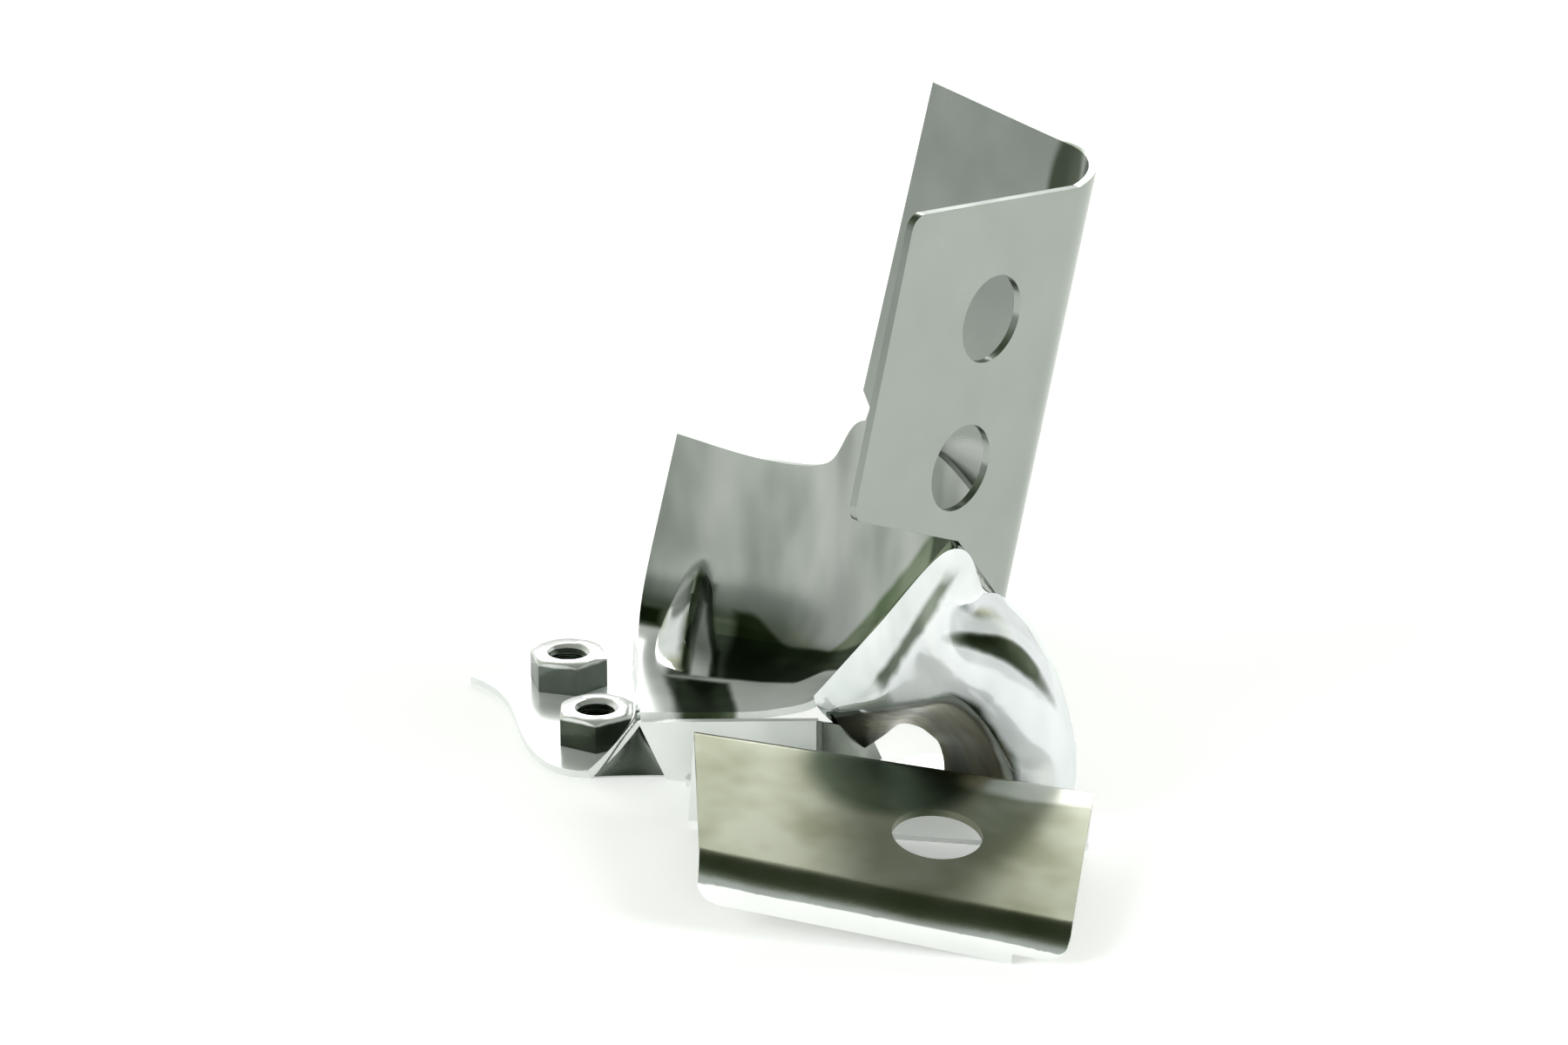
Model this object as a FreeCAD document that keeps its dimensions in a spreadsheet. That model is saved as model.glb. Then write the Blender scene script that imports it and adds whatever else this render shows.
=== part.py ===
import FreeCAD, Part
import math
import os
from FreeCAD import Placement, Rotation, Vector

doc = FreeCAD.newDocument("fender_bracket")

# Driving sizes, in millimetres and degrees
SIZES = {
    "gauge": 1.5,
    "centre_x": -2.828,
    "centre_y": 9.297,
    "platform_rise": 12.0,
    "slope_run": 9.5,
    "nut_x": -36.4,
    "nut_y": 36.6,
    "nut_pitch": 29.6,
    "nut_line_turn": 13.0,
    "nut_flats": 14.0,
    "nut_tall": 6.5,
    "nut_bore": 6.8,
    "plate_hole": 9.0,
    "wall_rise": 42.0,
    "wall_dip": 4.5,
    "dart_high": 5.0,
    "apex_rise": 58.0,
    "arch_rise": 30.0,
    "hood_bulge": 9.0,
    "front_wall_long": 35.5,
    "front_wall_turn": -16.5,
    "upper_turn": 50.0,
    "upper_lean": 11.0,
    "upper_tilt": 5.0,
    "upper_x": 12.3,
    "upper_y": -30.4,
    "upper_z": 71.7,
    "front_flange_wide": 47.5,
    "front_flange_tall": 56.0,
    "corner_radius": 14.0,
    "corner_turn": 82.0,
    "back_flange_wide": 40.2,
    "tail_drop": 20.3,
    "flange_corner": 3.0,
    "flange_hole": 16.5,
    "upper_hole_x": 29.0,
    "upper_hole_low": 7.5,
    "upper_hole_pitch": 28.2,
    "lower_turn": -9.35,
    "lower_slope": 5.4,
    "lower_tilt": 8.0,
    "lower_x": -16.7,
    "lower_y": -2.4,
    "lower_z": 20.8,
    "lower_wide": 75.3,
    "lower_deep": 43.0,
    "lip_radius": 4.5,
    "lip_drop": 1.2,
    "lip_corner": 5.0,
    "fold_radius": 1.6,
    "lower_hole_x": 49.5,
    "lower_hole_y": 24.4,
    "weld_bead": 2.2,
    "fit_gap": 0.15,
}
sheet = doc.addObject("Spreadsheet::Sheet", "Sizes")
for row, (word, size) in enumerate(SIZES.items(), start=1):
    sheet.set(f"A{row}", word)
    sheet.set(f"B{row}", str(size))
    sheet.setAlias(f"B{row}", word)
doc.recompute()


def cell(word):
    return float(sheet.get(word))


SEAT_GAP = 0.02
gauge = cell("gauge")
fit_gap = cell("fit_gap")
platform = cell("platform_rise")
centre = Vector(cell("centre_x"), cell("centre_y"), 0)
UP = Vector(0, 0, 1)


def closed(points):
    """Edges of a closed outline; a point with a third number gets a round corner of that radius."""
    corners = [(Vector(p[0], p[1], 0), p[2] if len(p) > 2 else 0) for p in points]
    ends = []
    arcs = []
    for k, (corner, radius) in enumerate(corners):
        before = (corners[k - 1][0] - corner).normalize()
        after = (corners[(k + 1) % len(corners)][0] - corner).normalize()
        if radius == 0:
            ends.append((corner, corner))
            arcs.append(None)
            continue
        half = before.getAngle(after) / 2
        reach = radius / math.tan(half)
        middle = (before + after).normalize() * (radius / math.sin(half) - radius)
        first = corner + before * reach
        last = corner + after * reach
        ends.append((first, last))
        arcs.append(Part.Arc(first, corner + middle, last))
    edges = []
    for k in range(len(corners)):
        if arcs[k]:
            edges.append(arcs[k])
        start = ends[k][1]
        stop = ends[(k + 1) % len(corners)][0]
        if (stop - start).Length > 1e-6:
            edges.append(Part.LineSegment(start, stop))
    return edges


def new_body(label):
    body = doc.addObject("PartDesign::Body", label)
    body.Label = label
    doc.recompute()
    return body


def draw(body, name, role, geometry, offset=0.0):
    """A sketch on one of the body's own origin planes."""
    sketch = body.newObject("Sketcher::SketchObject", name)
    plane = [f for f in body.Origin.OriginFeatures if f.Role == role][0]
    sketch.AttachmentSupport = [(plane, "")]
    sketch.MapMode = "FlatFace"
    sketch.AttachmentOffset = Placement(Vector(0, 0, offset), Rotation())
    for item in geometry:
        sketch.addGeometry(item, False)
    doc.recompute()
    return sketch


def pad(body, sketch, length, name, both=False):
    feature = body.newObject("PartDesign::Pad", name)
    feature.Profile = sketch
    if isinstance(length, str):
        feature.setExpression("Length", length)
    else:
        feature.Length = length
    feature.Midplane = both
    sketch.Visibility = False
    doc.recompute()
    return feature


def pocket(body, sketch, name, both=True):
    """A cut right through the body, on both sides of the sketch or only ahead of it."""
    feature = body.newObject("PartDesign::Pocket", name)
    feature.Profile = sketch
    feature.Type = "ThroughAll"
    feature.Midplane = both
    feature.Reversed = not both
    doc.recompute()
    return feature


def stand(thing, x, y, z, rotation=Rotation()):
    thing.Placement = Placement(Vector(x, y, z) - centre, rotation)


def along(points, share):
    """A smooth curve through the points, from the first at 0 to the last at 1."""
    spans = len(points) - 1
    k = min(int(share * spans), spans - 1)
    t = share * spans - k
    a = points[max(k - 1, 0)]
    b = points[k]
    c = points[k + 1]
    d = points[min(k + 2, spans)]
    slope_b = (c - a) * 0.5
    slope_c = (d - b) * 0.5
    return (b * (2 * t**3 - 3 * t**2 + 1) + slope_b * (t**3 - 2 * t**2 + t)
            + c * (3 * t**2 - 2 * t**3) + slope_c * (t**3 - t**2))


def step(t):
    t = max(0.0, min(1.0, t))
    return t * t * (3 - 2 * t)


def bend(first, knee, last, share, soft):
    """The path first, knee, last with its corner rounded over the share named soft."""
    t = max(0.0, min(1.0, (share - 0.5 + soft) / (2 * soft)))
    after = 2 * (2 * soft * (t**3 - t**4 / 2) + max(0.0, share - 0.5 - soft))
    before = 2 * share - after
    return first + (knee - first) * before + (last - knee) * after


def facing(point, u, v):
    """The unit normal of the surface point(u, v), from short steps both ways."""
    reach = 1e-3
    along_u = point(min(u + reach, 1), v) - point(max(u - reach, 0), v)
    along_v = point(u, min(v + reach, 1)) - point(u, max(v - reach, 0))
    return along_u.cross(along_v).normalize()


def skin(point, count_u, count_v, offset):
    """A spline surface through a grid of points, moved along the normal by the offset."""
    rows = []
    for i in range(count_u):
        u = i / (count_u - 1)
        shares = [j / (count_v - 1) for j in range(count_v)]
        rows.append([point(u, v) + facing(point, u, v) * offset for v in shares])
    surface = Part.BSplineSurface()
    surface.interpolate(rows)
    return surface


def pressed(point, count_u, count_v):
    """A solid sheet of the gauge whose middle surface is point(u, v)."""
    top = skin(point, count_u, count_v, gauge / 2)
    bottom = skin(point, count_u, count_v, -gauge / 2)
    faces = [top.toShape(), bottom.toShape()]
    a0, a1, b0, b1 = top.bounds()
    c0, c1, d0, d1 = bottom.bounds()
    pairs = [(top.uIso(a0), bottom.uIso(c0)), (top.uIso(a1), bottom.uIso(c1)),
             (top.vIso(b0), bottom.vIso(d0)), (top.vIso(b1), bottom.vIso(d1))]
    for one, other in pairs:
        side = Part.makeLoft([Part.Wire(one.toShape()), Part.Wire(other.toShape())], False, True)
        faces.extend(side.Faces)
    shell = Part.Shell(faces)
    shell.sewShape()
    solid = Part.Solid(Part.Shell(shell.Faces))
    if solid.Volume < 0:
        solid.reverse()
    return solid


def keep(label, shape):
    feature = doc.addObject("Part::Feature", label)
    feature.Label = label
    feature.Shape = shape
    feature.Placement = Placement(centre * -1, Rotation())
    return feature


# Nut plate: a flat tongue on the floor, with a ramp pressed up on its right side to meet the platform
PLATFORM_SIDE = -27.9


def ramp_run(y):
    return 0.3 + (cell("slope_run") - 0.3) * step((33.0 - y) / 13.0)


def ramp_point(u, v):
    y = 20.0 + 51.5 * u + 2.4 * v * (1 - u)
    top = PLATFORM_SIDE - 1.6 * step((u - 0.6) / 0.4)
    x = top - ramp_run(y) * (1 - v)
    return Vector(x, y, gauge / 2 + (platform - gauge - fit_gap) * (0.8 * v + 0.2 * v * v))


nut_line = Rotation(UP, cell("nut_line_turn")).multVec(Vector(0, 1, 0))
front_nut = Vector(cell("nut_x"), cell("nut_y"), 0)
rear_nut = front_nut + nut_line * cell("nut_pitch")
ramp = pressed(ramp_point, 17, 9)
foot_line = Part.BSplineCurve()
foot_line.interpolate([ramp_point(k / 12, 0.04) for k in range(13)])
foot_edge = Part.Edge(foot_line)
FREE_EDGE = [(-34, 80.5), (-42, 82.5), (-63, 68.5), (-52.6, 46), (-48, 29), (-43.5, 22.5)]
corners = [foot_edge.valueAt(foot_edge.LastParameter)] + [Vector(x, y, 0) for x, y in FREE_EDGE]
corners += [foot_edge.valueAt(foot_edge.FirstParameter)]
corners = [Vector(c.x, c.y, 0) for c in corners]
flat_foot = Part.BSplineCurve()
flat_foot.interpolate([Vector(q.x, q.y, 0) for q in foot_line.discretize(13)])
free_curve = Part.BSplineCurve()
free_curve.interpolate(corners[3:])
back_run = Part.makePolygon(corners[:4])
outline_wire = Part.Wire([flat_foot.toShape()] + back_run.Edges + [free_curve.toShape()])
tongue = Part.Face(outline_wire).extrude(UP * gauge)
for seat in (front_nut, rear_nut):
    tongue = tongue.cut(Part.makeCylinder(cell("plate_hole") / 2, 4 * gauge, seat - UP * gauge))
nut_plate_solid = tongue.fuse(ramp)
nut_plate = keep("nut_plate", nut_plate_solid)

# Saddle: the curved back wall, its bowl and the raised platform, with a dart across the bend
wall_top = platform + cell("wall_rise")
apex = cell("apex_rise")
dip = cell("wall_dip")
TOP = [Vector(-20.9, 67, wall_top), Vector(-3.4, 64, wall_top - dip), Vector(9, 57, wall_top - dip * 0.6),
       Vector(16, 48.4, wall_top + 9), Vector(29.3, 32.4, wall_top + 8), Vector(38.2, 10.6, apex)]
KNEE = [Vector(-29.6, 73, platform), Vector(-14, 66, platform - 1), Vector(4, 56, platform),
        Vector(16, 42, platform + 4), Vector(28, 24, platform + 18), Vector(34.15, 0.65, apex - 8)]
END = [Vector(-27.5, 22.7, platform), Vector(-14, 22.6, platform), Vector(-2, 21.6, platform + 1),
       Vector(8, 18, platform + 6), Vector(17, 8.6, platform + 23), Vector(30.5, -5.8, apex)]


def saddle_point(u, v):
    spot = bend(along(TOP, u), along(KNEE, u), along(END, u), v, 0.27)
    width = 0.03 + 0.045 * step((v - 0.30) / 0.4)
    dart = step((v - 0.28) / 0.2) * step((0.80 - v) / 0.16) * step(1.3 - 1.3 * abs(u - 0.135) / width)
    push = Vector(0.1, -0.75, 0.65) * (dart * cell("dart_high"))
    return spot + push


saddle = keep("saddle", pressed(lambda u, v: saddle_point(u * (0.45 + 0.55 * u), v), 37, 17))

# Hood: the domed shoulder over the arch, its rim rolled inward into a short tunnel
arch = cell("arch_rise")
bulge = cell("hood_bulge")
RIM = [Vector(8, 14.5, platform + 4.2), Vector(16.5, 6, platform + 9), Vector(25.2, -3, arch - 4.2),
       Vector(32.2, -10, arch - 0.6), Vector(37.4, -11, arch - 4.6), Vector(41.3, -10.8, arch - 12),
       Vector(43.3, -10.4, arch - 20), Vector(43.3, -10.4, gauge + fit_gap)]
MID = [Vector(6.5, 16, platform + 5), Vector(17, 4, platform + 15), Vector(25, -7, arch + 8),
       Vector(34, -7 - bulge, arch + 13), Vector(44, -6 - bulge, arch + 10), Vector(51.5, -5 - bulge, arch),
       Vector(56, -3 - bulge, arch - 14), Vector(55, -3 - bulge, gauge + fit_gap)]
TUNNEL = [Vector(15.2, 22, 6.1), Vector(18.6, 20, 9.6), Vector(21.9, 17, 13.5), Vector(25.6, 14, 14.2),
          Vector(28.3, 12, 13.1), Vector(30, 12, 11.1), Vector(31, 12, 7), Vector(31, 12, gauge + fit_gap)]
BACK = [Vector(6.3, 17.4, platform + 6.2), Vector(17.7, 6.7, platform + 24.4), Vector(31.1, -7.8, apex),
        Vector(36.2, -1.1, apex - 11), Vector(40.4, 4, apex - 15), Vector(48, 6, arch + 4),
        Vector(52, 6, arch - 12), Vector(52, 6, gauge + fit_gap)]


def hood_point(u, v):
    """In from the tunnel's far end to the rim over the first half of v, then up over the dome."""
    share = max(2 * v - 1, 0.001)
    rim = along(RIM, u)
    dome = bend(rim, along(MID, u), along(BACK, u), share, 0.5)
    return bend(along(TUNNEL, u), rim, rim + (dome - rim) * (1 / share), v, 0.1)


hood = keep("hood", pressed(hood_point, 29, 31))

# Sole: the flat foot on the floor with the short front wall bent up from it
sole = new_body("sole")
wall_long = cell("front_wall_long")
sole_turn = Rotation(UP, cell("front_wall_turn"))
sole_corner = Vector(-27.5, 22.7, 0)
PLAN = [(-22.5, 21.1), (8, 12.1), (18, 22), (27, 29), (42, 27), (54, 8), (57, -14.3), (-15.8, -2.3),
        (-16.6, 14)]


def local(point):
    return sole_turn.inverted().multVec(Vector(point[0], point[1], 0) - sole_corner)


flat = [(local(p).x, local(p).y, 2) for p in PLAN]
outline = draw(sole, "sole_outline", "XY_Plane", closed(flat))
pad(sole, outline, "Sizes.gauge", "sole_flat")
rise_left = platform - gauge / 2
wall_face = [(5.6, 0), (wall_long, 0), (wall_long, rise_left + 4.5), (0, rise_left)]
face = draw(sole, "wall_outline", "XZ_Plane", closed(wall_face))
wall_pad = pad(sole, face, "Sizes.gauge", "wall")
stand(sole, sole_corner.x, sole_corner.y, 0, sole_turn)

# Upper angle: one bent sheet with a drilled front flange, a round corner and a back flange
upper = new_body("upper_angle")
wide = cell("front_flange_wide")
tall = cell("front_flange_tall")
radius = cell("corner_radius")
turn = math.radians(cell("corner_turn"))
back_wide = cell("back_flange_wide")
hub = Vector(wide, radius, 0)


def on_arc(size, angle):
    return hub + Vector(math.sin(angle), -math.cos(angle), 0) * size


heading = Vector(math.cos(turn), math.sin(turn), 0)
outer_end = on_arc(radius, turn)
inner_end = on_arc(radius - gauge, turn)
outer_tip = outer_end + heading * back_wide
inner_tip = inner_end + heading * back_wide
section = [
    Part.LineSegment(Vector(0, 0, 0), Vector(wide, 0, 0)),
    Part.Arc(Vector(wide, 0, 0), on_arc(radius, turn / 2), outer_end),
    Part.LineSegment(outer_end, outer_tip),
    Part.LineSegment(outer_tip, inner_tip),
    Part.LineSegment(inner_tip, inner_end),
    Part.Arc(inner_end, on_arc(radius - gauge, turn / 2), Vector(wide, gauge, 0)),
    Part.LineSegment(Vector(wide, gauge, 0), Vector(0, gauge, 0)),
    Part.LineSegment(Vector(0, gauge, 0), Vector(0, 0, 0)),
]
strip = draw(upper, "bent_section", "XY_Plane", section, offset=-40)
pad(upper, strip, tall + 70, "bent_strip")
drop = cell("tail_drop")
MARGIN = 40
flange_corner = cell("flange_corner")
above = [(-MARGIN, tall - 9), (0, tall - 9), (0, tall, flange_corner), (wide, tall + 3.6),
         (wide + radius, tall + 8.4), (wide + MARGIN, tall + 18), (wide + MARGIN, tall + 80), (-MARGIN, tall + 80)]
pocket(upper, draw(upper, "top_cut", "XZ_Plane", closed(above)), "top_trim")
TAIL_START = (33, -6.9)
TAIL_END = (50.7, -drop)
below = [(-MARGIN, 6), (0, 6), (0, 0, flange_corner), TAIL_START, TAIL_END, (wide + MARGIN, -drop - 18),
         (wide + MARGIN, -90), (-MARGIN, -90)]
pocket(upper, draw(upper, "bottom_cut", "XZ_Plane", closed(below)), "bottom_trim")
behind = [(radius + 2, -10), (50, -3.6), (49.2, 1.2), (51.9, 3.9), (50, 66), (50, 99), (90, 99), (90, -90),
          (radius + 2, -90)]
pocket(upper, draw(upper, "back_cut", "YZ_Plane", closed(behind)), "back_trim")
hole_low = cell("upper_hole_low")
rings = [Part.Circle(Vector(cell("upper_hole_x"), hole_low + k * cell("upper_hole_pitch"), 0), UP,
                     cell("flange_hole") / 2) for k in range(2)]
pocket(upper, draw(upper, "bolt_holes", "XZ_Plane", rings), "bolt_holes_cut")
upper_rotation = (Rotation(UP, cell("upper_turn")) * Rotation(Vector(0, 1, 0), cell("upper_lean"))
                  * Rotation(Vector(1, 0, 0), cell("upper_tilt")))
stand(upper, cell("upper_x"), cell("upper_y"), cell("upper_z"), upper_rotation)

# Lower flange: the drilled plate, its turned-down front lip and the web folded down at its back
lower = new_body("lower_blank")
deep = cell("lower_deep")
lip = cell("lip_radius")
lip_drop = cell("lip_drop")
fold = cell("fold_radius")
WEB = 24.0
SPARE = 6.0
SPLAY = 6.4
LIP_LEAN = 1.6
lip_bottom = -lip - gauge - lip_drop


def fold_section(reach):
    """The closed outline of the folded sheet, the lip's bend starting at the reach from the fold."""
    front = -reach - lip
    tip = front - LIP_LEAN
    outer = [(-2.5, -WEB), (0, 0, fold + gauge), (front, 0, lip + gauge), (tip, lip_bottom)]
    inner = [(tip + gauge, lip_bottom), (front + gauge, -gauge, lip), (-gauge, -gauge, fold), (-2.5 - gauge, -WEB)]
    return outer + inner


lower_wide = cell("lower_wide")
left_end = draw(lower, "left_section", "YZ_Plane", closed(fold_section(deep - SPLAY / 2)), offset=-SPARE)
right_end = draw(lower, "right_section", "YZ_Plane", closed(fold_section(deep + SPLAY / 2)),
                 offset=lower_wide + SPARE)
strip = lower.newObject("PartDesign::AdditiveLoft", "folded_strip")
strip.Profile = left_end
strip.Sections = [right_end]
strip.Ruled = True
doc.recompute()
left_side = [(-20, 30), (0, 30), (0, 0), (9, -41.5), (14, -70), (-20, -70)]
right_side = [(lower_wide + 30, 30), (lower_wide, 30), (lower_wide, 0), (lower_wide + 1.7, -48.9),
              (lower_wide - 2, -70), (lower_wide + 30, -70)]
pocket(lower, draw(lower, "left_cut", "XY_Plane", closed(left_side)), "left_trim")
pocket(lower, draw(lower, "right_cut", "XY_Plane", closed(right_side)), "right_trim")
corner = cell("lip_corner")
IN_FRONT = 38.0
floor_line = lip_bottom + 1.8


def lip_cut(name, end, bottom, side):
    """Rounds the lip's lower corner at the end; the side is -1 at the left and 1 at the right."""
    away = end + side * 20
    toward = end - side * 2 * corner
    shape = [(away, -2), (end, -2), (end, bottom, corner), (toward, bottom), (toward, -40), (away, -40)]
    pocket(lower, draw(lower, name, "XZ_Plane", closed(shape), offset=IN_FRONT), name + "_trim", both=False)


lip_cut("lip_left", 9.2, lip_bottom, -1)
lip_cut("lip_right", lower_wide + 2, floor_line, 1)
ring = Part.Circle(Vector(cell("lower_hole_x"), -cell("lower_hole_y"), 0), UP, cell("flange_hole") / 2)
pocket(lower, draw(lower, "bolt_hole", "XY_Plane", [ring]), "bolt_hole_cut")
lower_rotation = (Rotation(UP, cell("lower_turn")) * Rotation(Vector(0, 1, 0), cell("lower_slope"))
                  * Rotation(Vector(1, 0, 0), cell("lower_tilt")))
stand(lower, cell("lower_x"), cell("lower_y"), cell("lower_z"), lower_rotation)


REACH = 200.0
web_tool = doc.addObject("Part::Box", "web_tool")
web_tool.Length = REACH
web_tool.Width = REACH
web_tool.Height = REACH
stand(web_tool, -REACH / 2, -30, gauge + SEAT_GAP - REACH)
lower_flange = doc.addObject("Part::Cut", "lower_flange")
lower_flange.Base = lower
lower_flange.Tool = web_tool
doc.recompute()

# Weld nuts: two alike, in line on the nut plate
def weld_nut(label, seat, yaw):
    body = new_body(label)
    across = cell("nut_flats") / math.sqrt(3)
    turns = [math.radians(60 * k) for k in range(6)]
    hexagon = [(across * math.cos(a), across * math.sin(a)) for a in turns]
    pad(body, draw(body, label + "_hex", "XY_Plane", closed(hexagon)), "Sizes.nut_tall", label + "_block")
    bore = Part.Circle(Vector(0, 0, 0), UP, cell("nut_bore") / 2)
    pocket(body, draw(body, label + "_bore", "XY_Plane", [bore]), label + "_bore_cut")
    stand(body, seat.x, seat.y, gauge + SEAT_GAP, Rotation(UP, yaw))
    return body


weld_nut_front = weld_nut("weld_nut_front", front_nut, 30)
weld_nut_rear = weld_nut("weld_nut_rear", rear_nut, -16)

# Welds: short beads that lie along the seams
def bead(label, spots, size):
    """A bead of round links along the spots."""
    solid = Part.makeSphere(size / 2, spots[0])
    for start, stop in zip(spots, spots[1:]):
        run = stop - start
        solid = solid.fuse(Part.makeCylinder(size / 2, run.Length, start, run))
        solid = solid.fuse(Part.makeSphere(size / 2, stop))
    return keep(label, solid)


bead_size = cell("weld_bead")
bead_lift = (gauge + bead_size) / 2 + fit_gap


def beside(point, u, v, lift):
    """A spot off the surface point(u, v), along its normal."""
    return point(u, v) + facing(point, u, v) * lift


SADDLE_SEAM = [(0.66, 0.083), (0.70, 0.099), (0.74, 0.116), (0.78, 0.134)]
tail_start = Vector(TAIL_START[0], gauge / 2, TAIL_START[1])
tail_run = Vector(TAIL_END[0], gauge / 2, TAIL_END[1]) - tail_start
below_tail = Vector(tail_run.z, 0, -tail_run.x).normalize() * (bead_size / 2 + fit_gap)
tail_spots = [tail_start + tail_run * k + below_tail for k in (0.5, 0.73, 0.96)]
upper_place = Placement(Vector(cell("upper_x"), cell("upper_y"), cell("upper_z")), upper_rotation)
hood_weld = bead("hood_weld", [upper_place.multVec(p) for p in tail_spots], bead_size)
saddle_weld = bead("saddle_weld", [beside(saddle_point, u, v, bead_lift) for u, v in SADDLE_SEAM], bead_size)
doc.recompute()
pieces = [nut_plate, saddle, hood, sole, upper, lower_flange, weld_nut_front, weld_nut_rear, hood_weld,
          saddle_weld]
for thing in doc.Objects:
    if "Invalid" in thing.State or "Error" in thing.State:
        raise RuntimeError(f"{thing.Name} failed: {thing.State}")
for piece in pieces:
    if piece.Shape.isNull() or not piece.Shape.isValid():
        raise RuntimeError(f"{piece.Label} has no valid shape")
os.makedirs("parts", exist_ok=True)
for piece in pieces:
    piece.Shape.exportStep(f"parts/{piece.Label}.step")
    box = piece.Shape.BoundBox
    print(piece.Label, len(piece.Shape.Solids), round(piece.Shape.Volume), [round(n, 1) for n in
          (box.XMin, box.YMin, box.ZMin, box.XMax, box.YMax, box.ZMax)])
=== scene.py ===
import bpy
import math
import numpy as np
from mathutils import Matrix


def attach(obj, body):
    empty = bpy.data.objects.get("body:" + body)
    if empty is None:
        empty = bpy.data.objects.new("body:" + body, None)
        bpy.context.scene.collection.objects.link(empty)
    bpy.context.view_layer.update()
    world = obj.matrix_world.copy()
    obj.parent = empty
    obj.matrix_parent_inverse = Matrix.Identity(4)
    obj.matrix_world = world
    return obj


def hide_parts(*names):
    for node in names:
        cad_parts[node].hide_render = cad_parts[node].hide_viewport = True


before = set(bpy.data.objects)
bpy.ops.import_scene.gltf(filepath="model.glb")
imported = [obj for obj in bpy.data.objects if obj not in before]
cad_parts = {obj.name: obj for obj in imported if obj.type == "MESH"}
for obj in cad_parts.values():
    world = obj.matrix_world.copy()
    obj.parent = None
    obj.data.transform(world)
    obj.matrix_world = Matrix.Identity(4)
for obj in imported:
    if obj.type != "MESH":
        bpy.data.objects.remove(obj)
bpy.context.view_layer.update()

# Camera: a long lens in front of the bracket, looking down on it by a fifth of a right angle.
# The bracket's origin lies on the floor under the middle of its box, so the drawing origin,
# where the plan is laid out from, sits a few millimetres off it.
MM = 0.001
DRAWING_ORIGIN = np.array([2.828, -9.297, 0.0])
LOOK_HEIGHT = 60.0
LOOK_DISTANCE = 900.0
LOOK_DOWN = math.radians(20.5)
target = DRAWING_ORIGIN + (0.0, 0.0, LOOK_HEIGHT)
eye = target + LOOK_DISTANCE * np.array([0.0, -math.cos(LOOK_DOWN), math.sin(LOOK_DOWN)])
lens = bpy.data.cameras.new("camera")
lens.lens = 112.5
lens.sensor_width = 36.0
lens.clip_start = 0.01
camera = bpy.data.objects.new("camera", lens)
camera.location = eye * MM
camera.rotation_euler = (math.pi / 2 - LOOK_DOWN, 0.0, 0.0)
bpy.context.scene.collection.objects.link(camera)
bpy.context.scene.camera = camera
bpy.context.scene.view_settings.view_transform = "Standard"


# Studio: a white paper floor, a pale room that darkens overhead, and soft boxes on all four sides.
# The paper adds its own white to what the lens and the mirror-bright metal see, so it stays
# white without more light on the bracket, and it still takes the soft shadows.
def linear(hex_colour):
    """An sRGB hex value as linear red, green, blue and alpha."""
    parts = np.array([int(hex_colour[k:k + 2], 16) / 255 for k in (1, 3, 5)])
    return (*np.where(parts <= 0.04045, parts / 12.92, ((parts + 0.055) / 1.055) ** 2.4), 1.0)


def add(tree, kind, settings=None, stops=(), **sockets):
    """A node of that kind with its own settings, a ramp's stops as pairs of place and sRGB hex colour,
    and its sockets set to values or linked to other sockets."""
    node = tree.nodes.new(kind)
    for key, value in (settings or {}).items():
        setattr(node, key, value)
    for number, (place, colour) in enumerate(stops):
        if number > 1:
            node.color_ramp.elements.new(1.0)
        node.color_ramp.elements[number].position = place
        node.color_ramp.elements[number].color = linear(colour)
    for key, value in sockets.items():
        socket = node.inputs[int(key[1:]) if key[1:].isdigit() else key.replace("_", " ")]
        if isinstance(value, bpy.types.NodeSocket):
            tree.links.new(value, socket)
        else:
            socket.default_value = value
    return node


paper = bpy.data.materials.new("white_paper")
paper.use_nodes = True
tree = paper.node_tree
tree.nodes.clear()
path = add(tree, "ShaderNodeLightPath")
seen = add(tree, "ShaderNodeMath", {"operation": "MAXIMUM"}, i0=path.outputs["Is Camera Ray"],
           i1=path.outputs["Is Glossy Ray"])
seen = add(tree, "ShaderNodeMath", {"operation": "MAXIMUM"}, i0=seen.outputs[0],
           i1=path.outputs["Is Transmission Ray"])
lift = add(tree, "ShaderNodeMath", {"operation": "MULTIPLY"}, i0=seen.outputs[0], i1=0.34)
glow = add(tree, "ShaderNodeEmission", Color=linear("#fdfefd"), Strength=lift.outputs[0])
matt = add(tree, "ShaderNodeBsdfDiffuse", Color=linear("#f0f1f0"))
both = add(tree, "ShaderNodeAddShader", i0=glow.outputs[0], i1=matt.outputs[0])
add(tree, "ShaderNodeOutputMaterial", Surface=both.outputs[0])
FLOOR_HALF = 6.0
sheet = bpy.data.meshes.new("floor")
corners = [(-FLOOR_HALF, -FLOOR_HALF, 0), (FLOOR_HALF, -FLOOR_HALF, 0), (FLOOR_HALF, FLOOR_HALF, 0),
           (-FLOOR_HALF, FLOOR_HALF, 0)]
sheet.from_pydata(corners, [], [(0, 1, 2, 3)])
sheet.materials.append(paper)
floor = bpy.data.objects.new("floor", sheet)
bpy.context.scene.collection.objects.link(floor)

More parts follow.
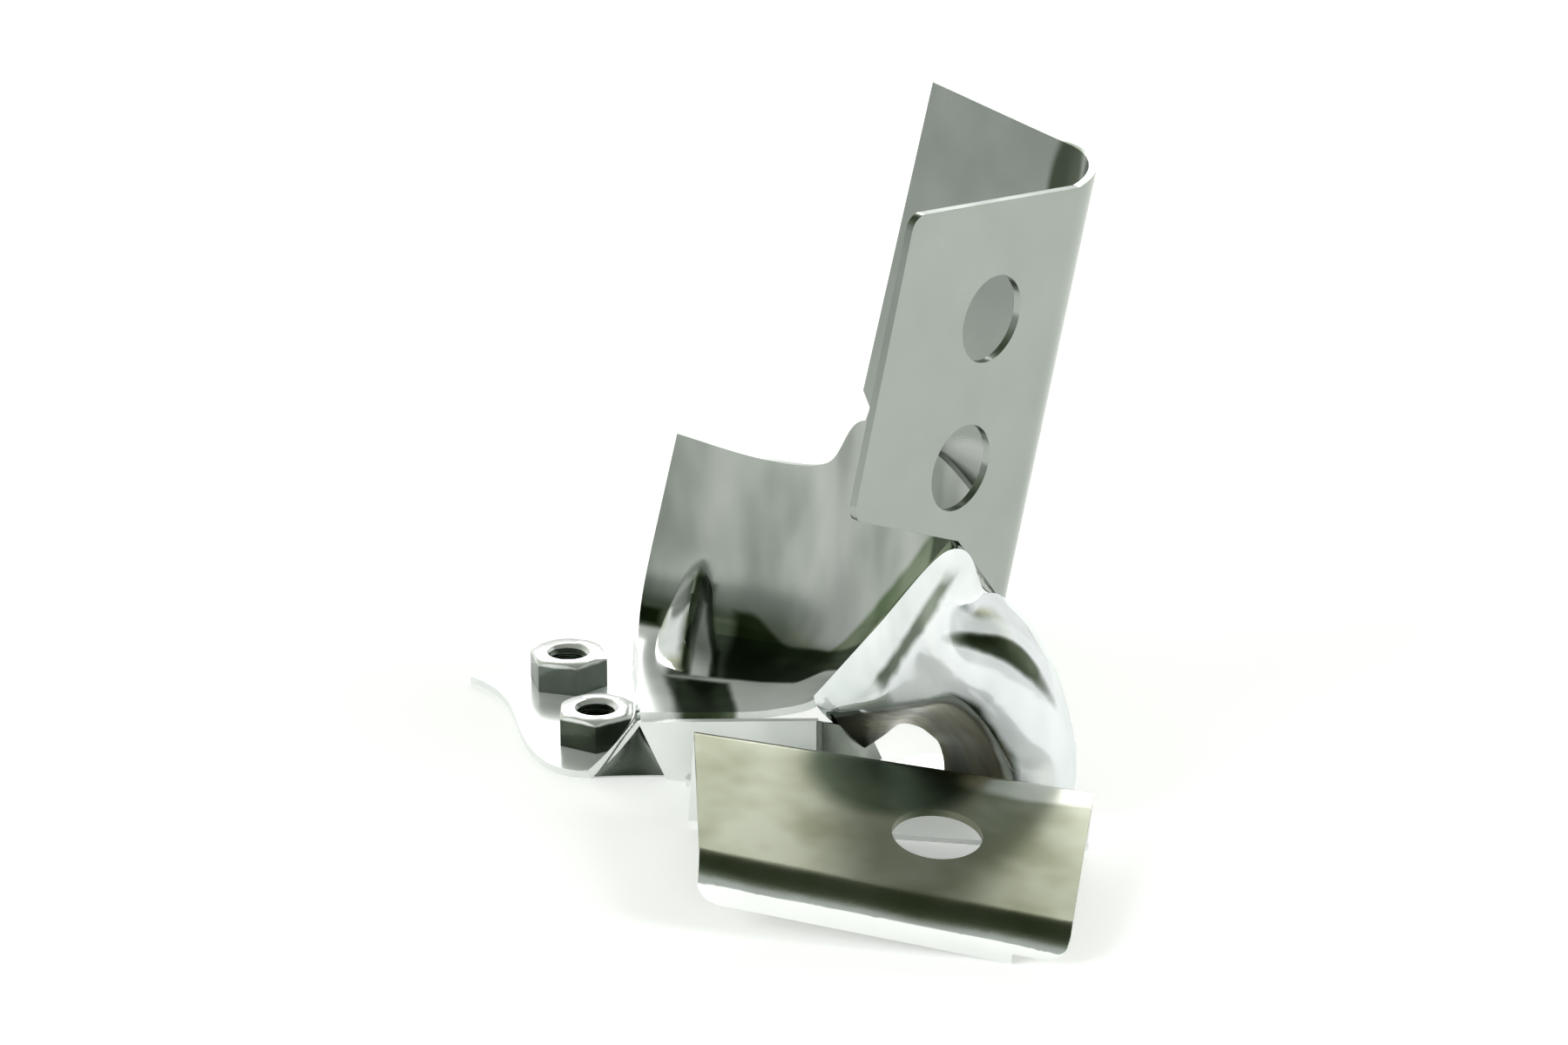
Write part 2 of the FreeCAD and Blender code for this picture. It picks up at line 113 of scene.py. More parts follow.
room = bpy.data.worlds.new("pale_room")
bpy.context.scene.world = room
room.use_nodes = True
tree = room.node_tree
tree.nodes.clear()
toward = add(tree, "ShaderNodeTexCoord")
parts = add(tree, "ShaderNodeSeparateXYZ", Vector=toward.outputs["Generated"])
behind = add(tree, "ShaderNodeValToRGB", Fac=parts.outputs["Z"],
             stops=[(0.0, "#fdfefd"), (0.40, "#f6f8f6"), (0.58, "#cdd0ba"), (0.86, "#4c5645")])
ahead = add(tree, "ShaderNodeValToRGB", Fac=parts.outputs["Z"],
            stops=[(0.0, "#aab0aa"), (0.35, "#a6aca6"), (0.60, "#66705f"), (0.86, "#4c5645")])
side = add(tree, "ShaderNodeMapRange", Value=parts.outputs["Y"], From_Min=-0.35, From_Max=0.35)
whole = add(tree, "ShaderNodeMix", {"data_type": "RGBA"}, i0=side.outputs[0], i6=ahead.outputs[0],
            i7=behind.outputs[0])
shine = add(tree, "ShaderNodeBackground", Color=whole.outputs[2], Strength=1.0)
add(tree, "ShaderNodeOutputWorld", Surface=shine.outputs[0])


def softbox(name, place, wide, tall, watts, mirrored):
    """A soft lamp at the place, in metres, facing the bracket's middle, mirrored in the metal or not."""
    lamp = bpy.data.lights.new(name, "AREA")
    lamp.shape = "RECTANGLE"
    lamp.size = wide
    lamp.size_y = tall
    lamp.energy = watts
    thing = bpy.data.objects.new(name, lamp)
    spot = np.array(place, float)
    back = spot - target * MM
    thing.location = spot
    thing.rotation_euler = (math.atan2(math.hypot(back[0], back[1]), back[2]), 0.0,
                            math.atan2(back[0], -back[1]))
    thing.visible_glossy = mirrored
    bpy.context.scene.collection.objects.link(thing)


softbox("left_box", (-1.3, -0.9, 0.9), 0.9, 0.9, 16.0, False)
softbox("right_box", (1.3, -0.5, 0.8), 0.7, 1.0, 12.0, False)
softbox("front_box", (0.15, -1.9, 0.75), 0.8, 0.35, 8.0, False)
softbox("back_box", (0.1, 1.5, 0.9), 1.4, 0.6, 10.0, True)


# Saddle: one pressing of 1.5 mm steel, nickel-chrome plated: an upright back wall that rolls into
# a bowl and a flat platform, with a sharp dart pressed across the bend near its left end.
GAUGE = 1.5
PLATFORM = 12.0
WALL_TOP = 54.0
WALL_DIP = 4.5
APEX = 58.0
DART_HIGH = 5.0
DART_LINE = 0.135
PRESSED_EDGE = 0.3
SHEARED_EDGE = 0.25


def ease(t):
    """0 below 0, 1 above 1, and the smooth step 3t^2 - 2t^3 between."""
    t = np.clip(t, 0.0, 1.0)
    return t * t * (3 - 2 * t)


def through(points, share):
    """A smooth curve through the points, from the first at 0 to the last at 1: cubics whose slope
    at each point is half the step between its neighbours."""
    points = np.array(points, float)
    spans = len(points) - 1
    k = np.minimum((share * spans).astype(int), spans - 1)
    t = (share * spans - k)[..., None]
    before = points[np.maximum(k - 1, 0)]
    start = points[k]
    stop = points[k + 1]
    after = points[np.minimum(k + 2, spans)]
    return (start * (2 * t**3 - 3 * t**2 + 1) + (stop - before) * (t**3 - 2 * t**2 + t) / 2
            + stop * (3 * t**2 - 2 * t**3) + (after - start) * (t**3 - t**2) / 2)


def rolled(first, knee, last, share, soft):
    """The path first, knee, last, with its corner rounded over the share named soft: the part of the
    path spent after the knee grows as t^3 - t^4/2 while the corner passes."""
    t = np.clip((share - 0.5 + soft) / (2 * soft), 0.0, 1.0)
    after = 2 * (2 * soft * (t**3 - t**4 / 2) + np.maximum(0.0, share - 0.5 - soft))
    before = 2 * share - after
    return first + (knee - first) * before[..., None] + (last - knee) * after[..., None]


def shares(rows, columns):
    """Two grids of shares from 0 to 1: one along the piece and one across it."""
    return np.meshgrid(np.linspace(0, 1, rows), np.linspace(0, 1, columns), indexing="ij")


def finish_piece(piece, node, material, edge):
    """Rounds the piece's sharp edges, shades it smooth, and puts it in the CAD node's place."""
    rounding = piece.modifiers.new("worn_edges", "BEVEL")
    rounding.width = edge * MM
    rounding.segments = 2
    rounding.limit_method = "ANGLE"
    rounding.angle_limit = math.radians(40)
    rounding.harden_normals = True
    piece.data.shade_smooth()
    piece.data.materials.clear()
    piece.data.materials.append(material)
    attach(piece, "root")
    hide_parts(node)


def sheet_mesh(name, middle):
    """A sheet of the gauge whose middle surface is the grid of points, in drawing millimetres."""
    rows, columns = middle.shape[:2]
    number = np.arange(rows * columns).reshape(rows, columns)
    quads = np.stack([number[:-1, :-1], number[1:, :-1], number[1:, 1:], number[:-1, 1:]], axis=-1)
    mesh = bpy.data.meshes.new(name)
    points = (middle.reshape(-1, 3) + DRAWING_ORIGIN) * MM
    mesh.from_pydata(points.tolist(), [], quads.reshape(-1, 4).tolist())
    piece = bpy.data.objects.new(name, mesh)
    bpy.context.scene.collection.objects.link(piece)
    wall = piece.modifiers.new("gauge", "SOLIDIFY")
    wall.thickness = GAUGE * MM
    wall.offset = 0.0
    wall.use_even_offset = True
    return piece


def mark_zone(piece, zone, depth):
    """Stores at each point how deep in that zone of the plating it lies, in millimetres."""
    kept = piece.data.attributes.new(zone, "FLOAT", "POINT")
    kept.data.foreach_set("value", np.ascontiguousarray(depth, dtype=np.float32).ravel())


# Nickel-chrome plate over a drawn pressing: mirror bright, with the faint ripple of the sheet under it.
def plate_material(name, colour, dull, ripple_mm, ripple_deep, brushed, zones=(), metal=1.0):
    """Plated steel. The ripple is in millimetres; brushed stretches the fine grain along Z. Each zone is
    a stored depth, or a centre and a reach in millimetres, with its own dark, middle and light colour in
    soft streaks, its roughness and its share of metal. Metal is the share outside the zones. A share is
    less than 1 where the plate is painted pale and partly matt, as a painted highlight or painted light."""
    material = bpy.data.materials.new(name)
    material.use_nodes = True
    tree = material.node_tree
    tree.nodes.clear()
    where = add(tree, "ShaderNodeTexCoord").outputs["Object"]
    wave = add(tree, "ShaderNodeTexNoise", Vector=where, Scale=1 / (ripple_mm * MM), Detail=2.0)
    stretched = add(tree, "ShaderNodeMapping", Vector=where, Scale=(1.0, 1.0, brushed))
    grain = add(tree, "ShaderNodeTexNoise", Vector=stretched.outputs[0], Scale=1 / (0.5 * MM), Detail=3.0)
    patch = add(tree, "ShaderNodeTexNoise", Vector=where, Scale=1 / (14.0 * MM), Detail=2.0)
    rough = add(tree, "ShaderNodeMapRange", Value=patch.outputs["Fac"], From_Min=0.3, From_Max=0.7,
                To_Min=dull * 0.8, To_Max=dull * 1.25)
    low = add(tree, "ShaderNodeBump", Strength=ripple_deep, Distance=0.25 * MM, Height=wave.outputs["Fac"])
    fine = add(tree, "ShaderNodeBump", Strength=dull * 0.5, Distance=0.02 * MM, Height=grain.outputs["Fac"],
               Normal=low.outputs[0])
    tint = add(tree, "ShaderNodeValToRGB", Fac=patch.outputs["Fac"],
               stops=[(0.3, colour[0]), (0.7, colour[1])])
    skin = tint.outputs[0]
    gloss = rough.outputs[0]
    metallic = metal
    drawn = add(tree, "ShaderNodeMapping", Vector=where, Rotation=(0.0, 0.6, 0.0), Scale=(1.0, 1.0, 0.4))
    streak = add(tree, "ShaderNodeTexNoise", Vector=drawn.outputs[0], Scale=1 / (14.0 * MM), Detail=2.0)
    for zone, shades, zone_dull, zone_metal in zones:
        if isinstance(zone, str):
            depth = add(tree, "ShaderNodeAttribute", {"attribute_name": zone}).outputs["Fac"]
        else:
            centre, reach = zone
            scale = MM * np.array(reach)
            shift = -(np.array(centre) + DRAWING_ORIGIN) * MM / scale
            around = add(tree, "ShaderNodeMapping", Vector=where, Location=shift, Scale=1 / scale)
            far = add(tree, "ShaderNodeVectorMath", {"operation": "LENGTH"}, i0=around.outputs[0])
            depth = add(tree, "ShaderNodeMath", {"operation": "MULTIPLY_ADD"}, i0=far.outputs["Value"],
                        i1=-6.0, i2=6.0).outputs[0]
        edge = add(tree, "ShaderNodeMath", {"operation": "MULTIPLY_ADD"}, i0=wave.outputs["Fac"],
                   i1=3.0, i2=depth)
        share = add(tree, "ShaderNodeMapRange", {"interpolation_type": "SMOOTHSTEP"}, Value=edge.outputs[0],
                    From_Min=0.8, From_Max=2.8).outputs[0]
        grey = add(tree, "ShaderNodeValToRGB", Fac=streak.outputs["Fac"],
                   stops=[(0.36, shades[0]), (0.5, shades[1]), (0.66, shades[2])])
        skin = add(tree, "ShaderNodeMix", {"data_type": "RGBA"}, i0=share, i6=skin,
                   i7=grey.outputs[0]).outputs[2]
        gloss = add(tree, "ShaderNodeMix", i0=share, i2=gloss, i3=zone_dull).outputs[0]
        if metallic != zone_metal:
            metallic = add(tree, "ShaderNodeMix", i0=share, i2=metallic, i3=zone_metal).outputs[0]
    shader = add(tree, "ShaderNodeBsdfPrincipled", Metallic=metallic, Base_Color=skin, Roughness=gloss,
                 Normal=fine.outputs[0])
    add(tree, "ShaderNodeOutputMaterial", Surface=shader.outputs[0])
    return material


# The saddle plate's dark zone is painted dark reflection and shade; its near-white zone is painted
# highlights.
saddle_plate = plate_material("part_satin_chrome_plate", ("#cdd2ce", "#e2e5e3"), 0.08, 16.0, 0.2, 1.0,
                              [("satin", ("#868c86", "#a0a5a0", "#b2b6b2"), 0.3, 1.0),
                               ("dark", ("#39442f", "#4c5a42", "#6f7b66"), 0.12, 1.0),
                               ("painted_highlight", ("#e4e8e5", "#eef1ef", "#f6f8f7"), 0.2, 0.3)])

TOP_EDGE = [(-20.9, 67, WALL_TOP), (-3.4, 64, WALL_TOP - WALL_DIP), (9, 57, WALL_TOP - WALL_DIP * 0.6),
            (16, 48.4, WALL_TOP + 9), (29.3, 32.4, WALL_TOP + 8), (38.2, 10.6, APEX)]
ROLL_LINE = [(-29.6, 73, PLATFORM), (-14, 66, PLATFORM - 1), (4, 56, PLATFORM), (16, 42, PLATFORM + 4),
             (28, 24, PLATFORM + 18), (34.15, 0.65, APEX - 8)]
FRONT_EDGE = [(-27.5, 22.7, PLATFORM), (-14, 22.6, PLATFORM), (-2, 21.6, PLATFORM + 1),
              (8, 18, PLATFORM + 6), (17, 8.6, PLATFORM + 23), (30.5, -5.8, APEX)]


def dart_width(v):
    """Half the dart's width as a share of the wall's length: it widens from the wall to the bowl."""
    return 0.03 + 0.045 * ease((v - 0.30) / 0.4)


def saddle_middle(u, v):
    """u runs along the wall to the upright angle, v from the top edge down over the roll to the front
    edge. The dart is a ridge across the roll, highest at its middle line."""
    spot = rolled(through(TOP_EDGE, u), through(ROLL_LINE, u), through(FRONT_EDGE, u), v, 0.27)
    crest = np.clip(1.08 - 1.08 * np.abs(u - DART_LINE) / dart_width(v), 0.0, 1.0) ** 1.4
    dart = ease((v - 0.28) / 0.2) * ease((0.80 - v) / 0.16) * crest
    return spot + dart[..., None] * DART_HIGH * np.array([0.1, -0.75, 0.65])


along_wall, down_wall = shares(320, 130)
saddle = sheet_mesh("saddle_pressing", saddle_middle(along_wall, down_wall))

# Zones of the saddle's plating, as depths in millimetres: about 70 along v and 80 along u are the
# millimetres in the whole sheet. The wall is satin down to the roll, which sits higher near the hood.
along_v = 70
along_u = 80
near_bowl = 0.43 + 0.12 * ease((along_wall - 0.26) / 0.12)
roll_start = np.minimum(near_bowl, 0.6 - 1.05 * (along_wall - 0.45))
mark_zone(saddle, "satin", (np.maximum(roll_start, 0.46 - 2 * along_wall) + 0.05 - down_wall) * along_v)

# Painted dark reflection and shade: the dart's crest and its shaded right side, the bowl and the ridge, the
# left edge, and below the dart.
dart_wide = dart_width(down_wall)
dart_tall = np.minimum(down_wall - 0.36, 0.78 - down_wall) * along_v
dart_crest = np.minimum((0.011 - np.abs(along_wall - 0.132)) * along_u, dart_tall)
dart_side_painted_shade = np.minimum((0.010 - np.abs(along_wall - DART_LINE - 0.95 * dart_wide)) * along_u, dart_tall)
bowl_painted_reflection = np.minimum((down_wall - roll_start) * along_v, (along_wall - 0.225) * 60)
left_edge_painted_reflection = np.minimum(0.04 - np.abs(down_wall - 0.52), 0.075 - along_wall) * 70
below_middle = 0.18 + 0.12 * (down_wall - 0.9)
below_dart_painted_shade = np.minimum(0.078 - np.abs(along_wall - below_middle), down_wall - 0.81) * 70
mark_zone(saddle, "dark", np.maximum.reduce([dart_crest, dart_side_painted_shade, bowl_painted_reflection, below_dart_painted_shade, left_edge_painted_reflection]))

# Painted highlights, near white and partly matt: the platform, the left end of the roll, and the dart's
# facet.
platform_start = 0.79 - 0.12 * ease((along_wall - 0.42) / 0.1)
platform_bright = np.minimum((down_wall - platform_start) * along_v, (0.64 - along_wall) * along_u)
left_bright = np.minimum((down_wall - 0.56) * along_v, (0.095 - along_wall) * along_u)
facet_wide = np.minimum(along_wall - 0.143, 0.118 + 0.95 * dart_wide - along_wall) * 120
dart_bright = np.minimum(facet_wide, np.minimum(down_wall - 0.44, 0.79 - down_wall) * along_v)
bright = np.maximum.reduce([platform_bright, left_bright, dart_bright])
mark_zone(saddle, "painted_highlight", np.minimum(bright, -below_dart_painted_shade))
finish_piece(saddle, "saddle", saddle_plate, PRESSED_EDGE)

# Hood: the shoulder pressing under the upright angle, drawn into a dome whose front rim is an arch
# that rolls inward into a short tunnel. It is plated with the rest and is the brightest part.
# The hood's zones are painted: shade in the tunnel, highlights on the dome, and dark reflections along the
# crease and on the shoulder.
hood_plate = plate_material("hood_chrome_plate", ("#d3d9d8", "#eef0f2"), 0.07, 8.0, 0.9, 0.3,
                            [("tunnel", ("#33382b", "#57543f", "#7d7761"), 0.2, 1.0),
                             ("painted_highlight", ("#dfe4e6", "#edf0f2", "#f8f9fa"), 0.16, 0.35),
                             ("crease", ("#4c5449", "#6a7266", "#8d958a"), 0.2, 1.0),
                             ("shoulder", ("#4a5342", "#69715f", "#a3a99c"), 0.15, 1.0)])
ARCH = 30.0
BULGE = 6.0
FLOOR_GAP = 1.65
CREASE_FOOT = (17.5, 24.8)
CREASE_ALONG = (0.42, 0.907)
RIM = [(8, 14.5, PLATFORM + 4.2), (16.5, 6, PLATFORM + 9), (25.2, -3, ARCH - 4.2), (32.2, -11.5, ARCH),
       (37.4, -12.5, ARCH - 4), (41.3, -11.8, ARCH - 11.6), (43.3, -10.4, ARCH - 20),
       (43.3, -10.4, FLOOR_GAP)]
DOME = [(6.5, 16, PLATFORM + 5), (17, 4, PLATFORM + 15), (25, -7, ARCH + 8), (34, -7 - BULGE, ARCH + 13),
        (44, -6 - BULGE, ARCH + 10), (51.5, -5 - BULGE, ARCH), (56, -3 - BULGE, ARCH - 14),
        (55, -3 - BULGE, FLOOR_GAP)]
TUNNEL_END = [(15.2, 22, 6.1), (18.6, 20, 9.6), (21.9, 17, 13.5), (25.6, 14, 14.2), (28.3, 12, 13.1),
              (30, 12, 11.1), (31, 12, 7), (31, 12, FLOOR_GAP)]
RIDGE = [(6.3, 17.4, PLATFORM + 6.2), (17.7, 6.7, PLATFORM + 24.4), (31.1, -7.8, APEX),
         (36.2, -1.1, APEX - 11), (40.4, 4, APEX - 15), (48, 6, ARCH + 4), (52, 6, ARCH - 12),
         (52, 6, FLOOR_GAP)]


def beside_crease(spot):
    """How far a point lies beside the crease's straight line, seen along Y, in millimetres."""
    right = spot[..., 0] - CREASE_FOOT[0]
    higher = spot[..., 2] - CREASE_FOOT[1]
    return right * CREASE_ALONG[1] - higher * CREASE_ALONG[0]


def hood_middle(u, v):
    """u runs round the arch from the platform to the floor. v runs in the tunnel from its far end to
    the rim up to a half, and then over the dome to the ridge, and the corner at the rim is rolled. A
    shallow crease runs from the apex to the arch, a bell curve across its straight line."""
    share = np.maximum(2 * v - 1, 0.001)
    rim = through(RIM, u)
    dome = rolled(rim, through(DOME, u), through(RIDGE, u), share, 0.5)
    spot = rolled(through(TUNNEL_END, u), rim, rim + (dome - rim) / share[..., None], v, 0.1)
    bell = 0.3 * np.exp(-(beside_crease(spot) / 1.3) ** 2)
    crease = bell * ease((v - 0.55) / 0.08) * ease((0.36 - u) / 0.08)
    return spot + crease[..., None] * np.array([0.3, 0.75, -0.5])


round_arch, over_rim = shares(160, 170)
hood_spots = hood_middle(round_arch, over_rim)
hood = sheet_mesh("hood_pressing", hood_spots)

# Zones of the hood's plating, as depths in millimetres: the whole of v is about 50 mm. The crease and
# shoulder zones are painted dark reflections, the tunnel zone is painted shade and the near-white zone is
# painted highlights.
hood_v = 50
crease_wide = (1.0 - np.abs(beside_crease(hood_spots))) * 1.8
crease_long = np.minimum(hood_spots[..., 2] - 26, 54 - hood_spots[..., 2]) / 3
mark_zone(hood, "crease", np.minimum.reduce([crease_wide, crease_long, (over_rim - 0.56) * hood_v]))
mark_zone(hood, "tunnel", (0.46 - over_rim) * hood_v)
mark_zone(hood, "painted_highlight", np.minimum.reduce([over_rim - 0.5, 0.86 - over_rim, round_arch - 0.2]) * hood_v)
mark_zone(hood, "shoulder", 2.4 - 3 * ((round_arch - 0.53) / 0.2) ** 2 - 3 * ((over_rim - 0.74) / 0.055) ** 2)
finish_piece(hood, "hood", hood_plate, PRESSED_EDGE)


# Upright angle, lower flange, sole and nut plate: sheared and bent flat sheet, satin plated on the
# flanges. Their shape is the frame's own, with merged points and edges rounded as a sheared edge is.
def bent_sheet(name, node, material, edge):
    """A copy of the frame's mesh for that node; each face is shaded flat up to its rounded edges."""
    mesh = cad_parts[node].data.copy()
    mesh.set_sharp_from_angle(angle=math.radians(25))
    piece = bpy.data.objects.new(name, mesh)
    bpy.context.scene.collection.objects.link(piece)
    weld = piece.modifiers.new("merged", "WELD")
    weld.merge_threshold = 0.02 * MM
    finish_piece(piece, node, material, edge)
    piece.modifiers["worn_edges"].harden_normals = False
    level = piece.modifiers.new("level_faces", "WEIGHTED_NORMAL")
    level.mode = "FACE_AREA_WITH_ANGLE"
    level.weight = 95
    level.keep_sharp = True
    return piece


def above_plane(piece, corner, normal):
    """How far each of the piece's points lies above the plane, in millimetres."""
    spots = np.empty(len(piece.data.vertices) * 3, dtype=np.float32)
    piece.data.vertices.foreach_get("co", spots)
    return (spots.reshape(-1, 3) / MM - DRAWING_ORIGIN - corner) @ np.array(normal)


# The upright angle has painted shade inside its bend. Behind the lower hole the back flange's inner face has
# a painted light, pale and mostly matt, over the dark gap there, and its outer face, a gauge behind, is satin
# all over.
BEND_SHADE = ((50.5, 26.0, 118.0), (5.0, 5.0, 18.0))
BEHIND_HOLE_PAINTED_LIGHT = ((36.0, 29.0, 59.0), (12.0, 12.0, 7.0))
satin_plate = plate_material("satin_chrome_plate", ("#9aa09b", "#a1a7a2"), 0.22, 25.0, 0.05, 0.05,
                             [(BEND_SHADE, ("#4b5346", "#5d6558", "#767d70"), 0.25, 1.0),
                              (BEHIND_HOLE_PAINTED_LIGHT, ("#b4b9b4", "#bbc0bb", "#c0c4c0"), 0.4, 0.1),
                              ("outer_face", ("#9aa09b", "#9ea49f", "#a1a7a2"), 0.22, 1.0)])
upper_angle = bent_sheet("upright_angle", "upper_angle", satin_plate, SHEARED_EDGE)
BACK_FLANGE = (33.8, 29.9, 59.4)
BACK_INWARD = (-0.73, -0.65, 0.2)
above_middle = above_plane(upper_angle, BACK_FLANGE, BACK_INWARD) + GAUGE / 2
mark_zone(upper_angle, "outer_face", -6.7 * above_middle)

# The lower flange is satin on top, with painted shade at its back under the arch and a painted highlight
# at its right end. Its lip, which starts about 2.6 mm below the top, is bright, partly bright plate and
# partly a painted highlight.
FLANGE_PAINTED_SHADE = ((20.0, -10.0, 17.5), (16.0, 21.0, 9.0))
FLANGE_PAINTED_HIGHLIGHT = ((54.0, -16.0, 14.0), (20.0, 6.0, 6.0))
LIP_START = 2.6
flange_plate = plate_material("satin_plate_painted_highlights_and_shade", ("#eceeed", "#f4f6f5"), 0.12, 25.0, 0.1, 1.0,
                              [("satin", ("#80836f", "#8f9281", "#9b9e90"), 0.3, 1.0),
                               (FLANGE_PAINTED_SHADE, ("#414d3d", "#4b5846", "#5b6653"), 0.3, 1.0),
                               (FLANGE_PAINTED_HIGHLIGHT, ("#c9ccc2", "#d4d6ce", "#dfe1da"), 0.3, 1.0)])
lower_flange = bent_sheet("lower_flange_sheet", "lower_flange", flange_plate, SHEARED_EDGE)
LOWER_CORNER = (-16.7, -2.4, 20.8)
LOWER_NORMAL = (0.0693, -0.1525, 0.9859)
mark_zone(lower_flange, "satin", above_plane(lower_flange, LOWER_CORNER, LOWER_NORMAL) + LIP_START)

# Sole: the flat foot on the floor, its short front wall bent up to the platform, and the return that
# closes the wall to the arch's left foot. The foot is painted near white and partly matt as a painted
# reflection, and the return is painted grey as shade.
painted_white_plate = plate_material("chrome_plate_painted_white", ("#e2e6e3", "#f1f3f2"), 0.22, 12.0, 0.2, 1.0,
                               metal=0.35)
return_painted_shade_plate = plate_material("chrome_plate_painted_shade", ("#868c84", "#a3a89f"), 0.2, 6.0, 0.4, 1.0)
# Painted shade for the drawn corner in the hollow under the platform.
shaded_plate = plate_material("corner_painted_shade_plate", ("#697069", "#838a82"), 0.25, 6.0, 0.4, 1.0)
bent_sheet("sole_sheet", "sole", painted_white_plate, SHEARED_EDGE)
RETURN_TOP = [(6.9, 12.9, 15.0), (10.2, 16.4, 13.0), (13.0, 20.4, 9.4), (16.5, 25.0, 6.0)]
RETURN_FOOT = [(6.9, 12.9, 2.3), (10.2, 15.6, 2.3), (13.8, 19.0, 2.3), (18.5, 24.0, 2.3)]


def return_middle(u, v):
    """u runs back along the return from the wall's end, v straight from its foot to its top edge."""
    foot = through(RETURN_FOOT, u)
    return foot + (through(RETURN_TOP, u) - foot) * v[..., None]


wall_return = sheet_mesh("wall_return", return_middle(*shares(24, 8)))
finish_piece(wall_return, "sole", return_painted_shade_plate, 0.2)

# Nut plate: a flat tongue of the same sheet, with a ramp pressed up to the platform, painted near white like
# the sole. Its front corner is drawn in between the ramp and the front wall, and its grey is painted shade in
# that hollow.
bent_sheet("nut_plate_sheet", "nut_plate", painted_white_plate, SHEARED_EDGE)
RAMP_EDGE = [(-36.4, 20.4, 0.4), (-33.5, 21.1, 4.4), (-30.7, 21.9, 8.4), (-28.3, 22.4, 11.4)]
DRAWN_BACK = 4.0
WALL_EDGE = [(-22.9, 21.0, 0.4), (-24.4, 21.8, 4.2), (-26.2, 22.5, 7.8), (-27.9, 22.9, 11.4)]


def corner_middle(u, v):
    """u runs from the ramp's edge to the wall's edge, v from the floor up to where they meet; the middle
    of the corner is drawn back by 4u(1 - u)v of its most, so not at all on the floor."""
    first = through(RAMP_EDGE, v)
    spot = first + (through(WALL_EDGE, v) - first) * u[..., None]
    return spot + np.array([0.0, DRAWN_BACK, 0.0]) * (4 * u * (1 - u) * v)[..., None]


corner = sheet_mesh("drawn_corner", corner_middle(*shares(20, 16)))
corner.modifiers["gauge"].thickness = 0.8 * MM
finish_piece(corner, "nut_plate", shaded_plate, 0.1)

# Weld nuts: M8 nuts, 14 mm across the flats and 6.5 mm tall, of nickel-plated steel, with lathe-cut
# chamfers above and a cut thread inside, welded down on the tongue over its two holes. Their tops carry a
# painted highlight, and their sides a painted reflection, dark on the front nut and grey on the rear one.
NUT_FLATS = 14.0
NUT_TALL = 6.5
NUT_BORE = 6.8
THREAD_PITCH = 1.25
THREAD_DEEP = 0.3
MOUTH_DEEP = 0.7


def nut_shape(turn, path):
    """A ring of profiles, one for each turn about the nut's axis. Outside, the radius is that of the
    hexagon, half the flats over cos of the angle to the nearest flat, cut by a 30 degree cone at the top.
    Inside, it is the bore's radius and a wave of the pitch, which winds up the bore as a thread."""
    flat = turn % (np.pi / 3) - np.pi / 6
    hexagon = NUT_FLATS / 2 / np.cos(flat)
    cone = NUT_FLATS / 2 + 0.15
    reach = np.minimum(hexagon, cone)
    drop = (hexagon - reach + 0.25) * math.tan(math.radians(30))
    mouth = NUT_BORE / 2 + 0.9
    inside = np.clip((path - 0.45) / 0.45, 0.0, 1.0)
    depth = (NUT_TALL - MOUTH_DEEP) * (1 - inside)
    winding = np.cos(2 * np.pi * depth / THREAD_PITCH - turn)
    thread = NUT_BORE / 2 + THREAD_DEEP * (1 + winding)
    radius = np.select([path < 0.2, path < 0.3, path < 0.4], [hexagon, reach - 0.25, mouth], thread)
    height = np.select([path < 0.02, path < 0.2, path < 0.4],
                       [0.0 * turn, NUT_TALL - drop, NUT_TALL + 0.0 * turn], depth)
    return np.stack([radius * np.cos(turn), radius * np.sin(turn), height], axis=-1)


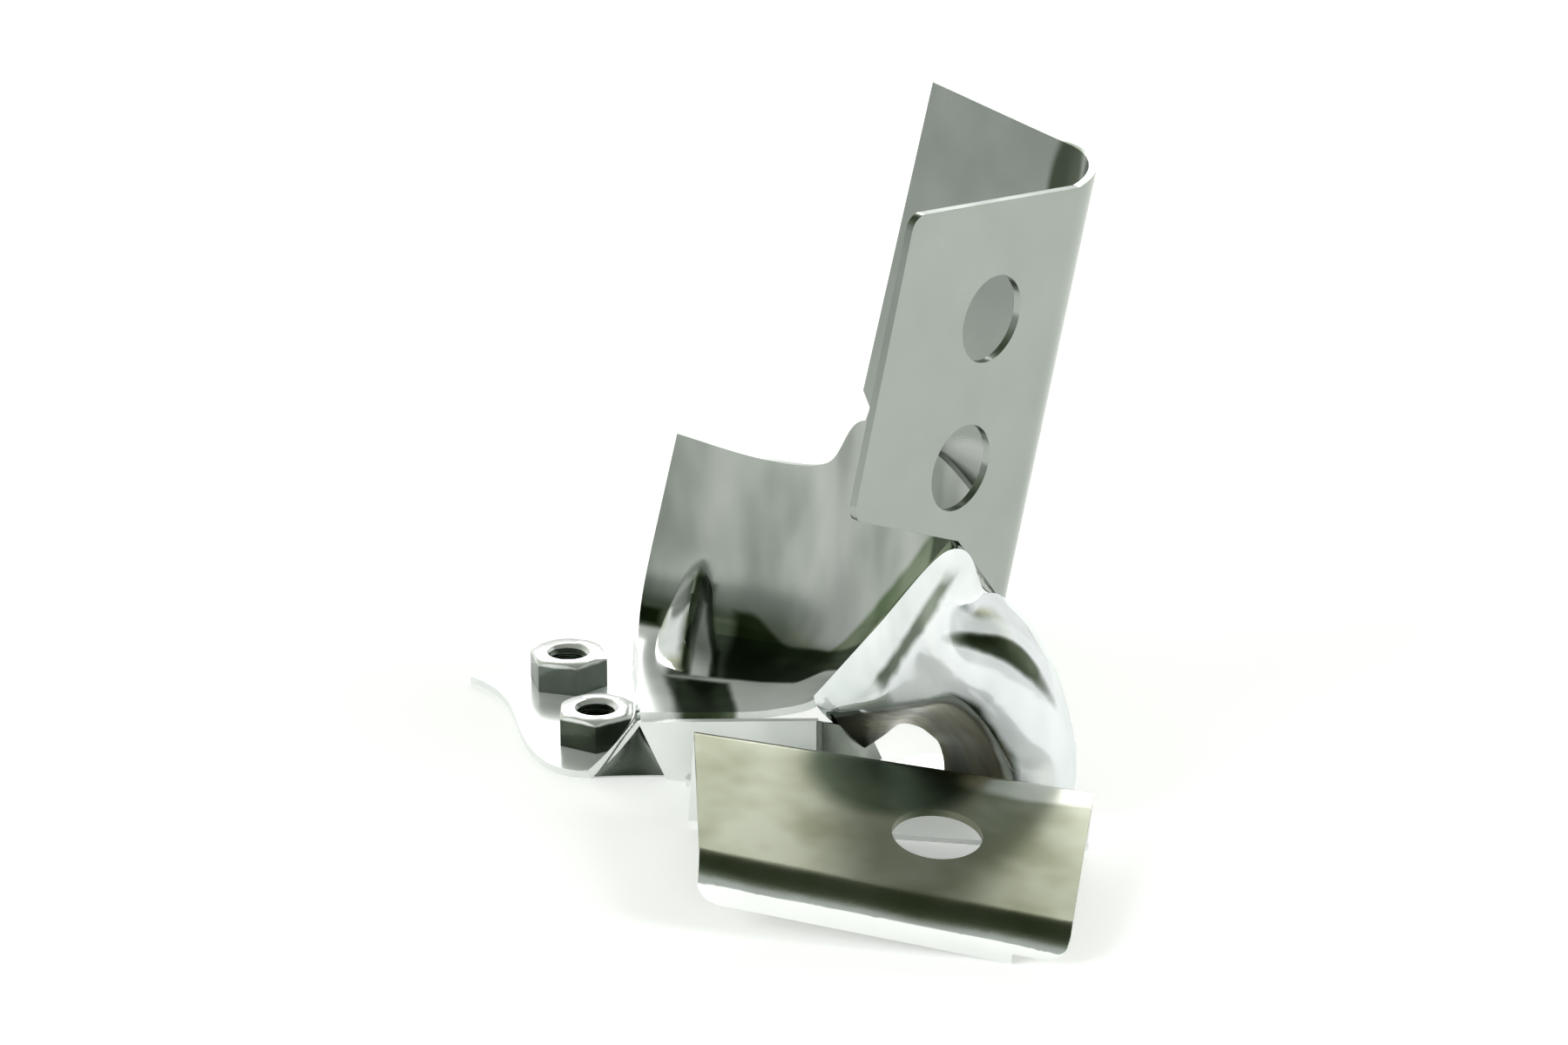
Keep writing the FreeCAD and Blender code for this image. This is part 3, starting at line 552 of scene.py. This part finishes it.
def weld_nut(name, node, seat, yaw, steel):
    """A nut's mesh: the profiles joined round the axis, and the last point of each to its first."""
    turns = np.linspace(0, 2 * np.pi, 97)[:-1]
    paths = np.concatenate([[0.0, 0.1, 0.25, 0.35], np.linspace(0.45, 0.9, 42)])
    turn, path = np.meshgrid(turns, paths, indexing="ij")
    points = nut_shape(turn, path).reshape(-1, 3)
    spin = np.array([[math.cos(yaw), math.sin(yaw), 0],
                     [-math.sin(yaw), math.cos(yaw), 0],
                     [0, 0, 1]])
    number = np.arange(turn.size).reshape(turn.shape)
    beside = np.roll(number, -1, axis=0)
    quads = np.stack([number, beside, np.roll(beside, -1, axis=1), np.roll(number, -1, axis=1)], axis=-1)
    mesh = bpy.data.meshes.new(name)
    spots = (points @ spin + seat + DRAWING_ORIGIN) * MM
    mesh.from_pydata(spots.tolist(), [], quads.reshape(-1, 4).tolist())
    piece = bpy.data.objects.new(name, mesh)
    bpy.context.scene.collection.objects.link(piece)
    mark_zone(piece, "nut_top_painted_highlight", (points[:, 2] - NUT_TALL + 0.9) * 4)
    finish_piece(piece, node, steel, 0.12)


# Painted highlight on the nut tops, and painted dark and grey reflections on the two nuts' sides.
nut_top_highlight = ("nut_top_painted_highlight", ("#dfe2df", "#eaecea", "#f3f4f3"), 0.2, 0.6)
front_nut_painted_reflection = plate_material("front_nut_painted_dark_reflection", ("#363d32", "#525a4e"), 0.16, 3.0, 0.4, 1.0, [nut_top_highlight])
rear_nut_painted_reflection = plate_material("rear_nut_painted_grey_reflection", ("#5a615a", "#868e88"), 0.16, 3.0, 0.4, 1.0, [nut_top_highlight])
weld_nut("front_weld_nut", "weld_nut_front", (-36.4, 36.6, 1.52), math.radians(30), front_nut_painted_reflection)
weld_nut("rear_weld_nut", "weld_nut_rear", (-43.06, 65.44, 1.52), math.radians(-16), rear_nut_painted_reflection)

# Welds: short beads where the upright angle meets the hood and the saddle, plated over their ripples.
weld_steel = plate_material("plated_weld", ("#9a9f98", "#b4b8b1"), 0.2, 1.6, 1.0, 1.0)
bent_sheet("hood_weld_bead", "hood_weld", weld_steel, 0.05)
bent_sheet("saddle_weld_bead", "saddle_weld", weld_steel, 0.05)
